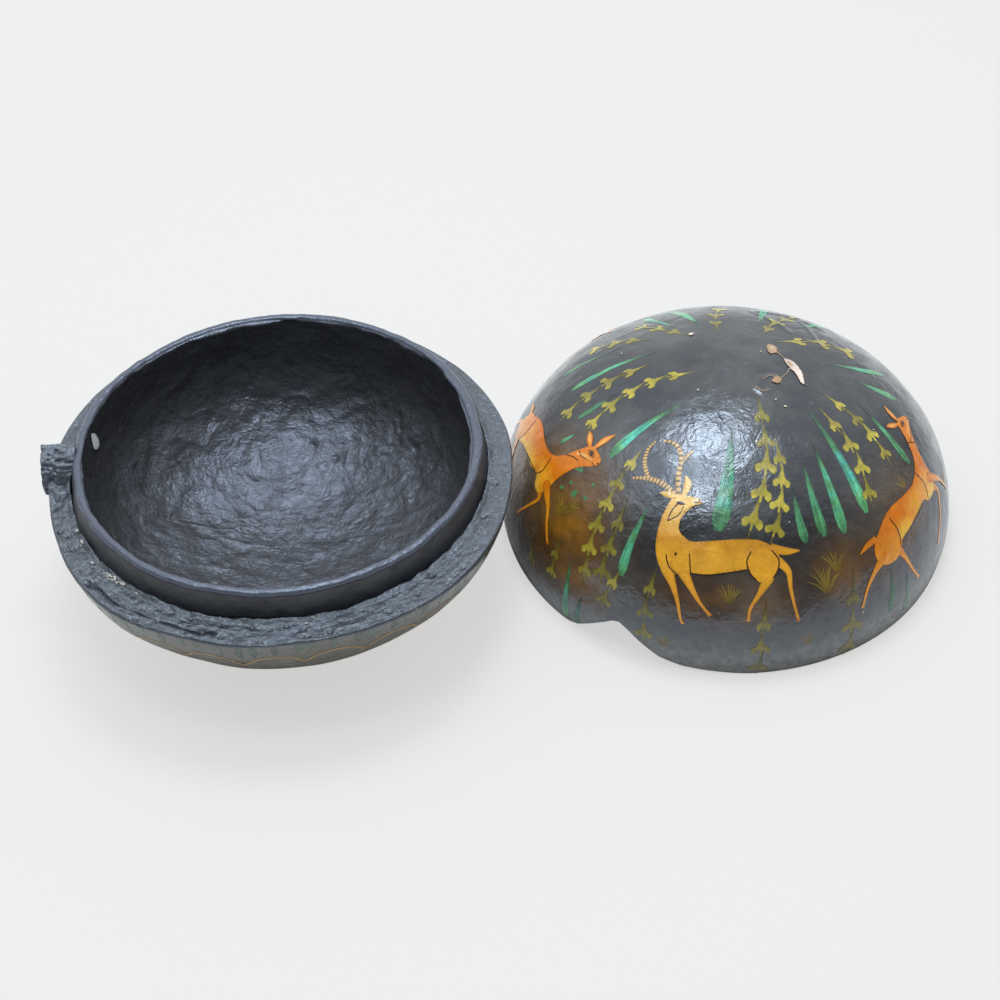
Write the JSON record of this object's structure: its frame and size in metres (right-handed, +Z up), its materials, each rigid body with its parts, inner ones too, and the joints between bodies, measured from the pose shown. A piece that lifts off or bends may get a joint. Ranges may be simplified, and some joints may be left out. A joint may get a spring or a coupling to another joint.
{
  "type": "decorative box",
  "caption": "Round moulded-paper keepsake box in two halves: a bowl with an upright collar and a key block, and a painted dome lid notched to fit over the key.",
  "frame": {"origin": "centre of the base's flat foot, on the surface that both halves stand on", "axes": "+Z up out of the base's hollow; +X towards the side where the lid stands; the lid stands open beside the base, as pictured"},
  "size_m": [0.3488, 0.2068, 0.072],
  "materials": {
    "lacquer": "gloss lacquer over moulded paper, painted",
    "lining": "brushed black semi-gloss paint over moulded paper",
    "pulp": "rough pulp, painted black"
  },
  "bodies": {
    "base": {"base_shell": "lacquer", "inner_bowl": "lining", "ledge_ring": "pulp", "key_block": "pulp"},
    "lid": {"lid_shell": "lacquer", "lid_lining": "lining"}
  },
  "joints": [
    {"name": "lid_lift", "type": "slide", "parent": "base", "child": "lid", "axis": [0.171, 0.0301, 0.9848], "range_m": [0, 0.1]}
  ]
}
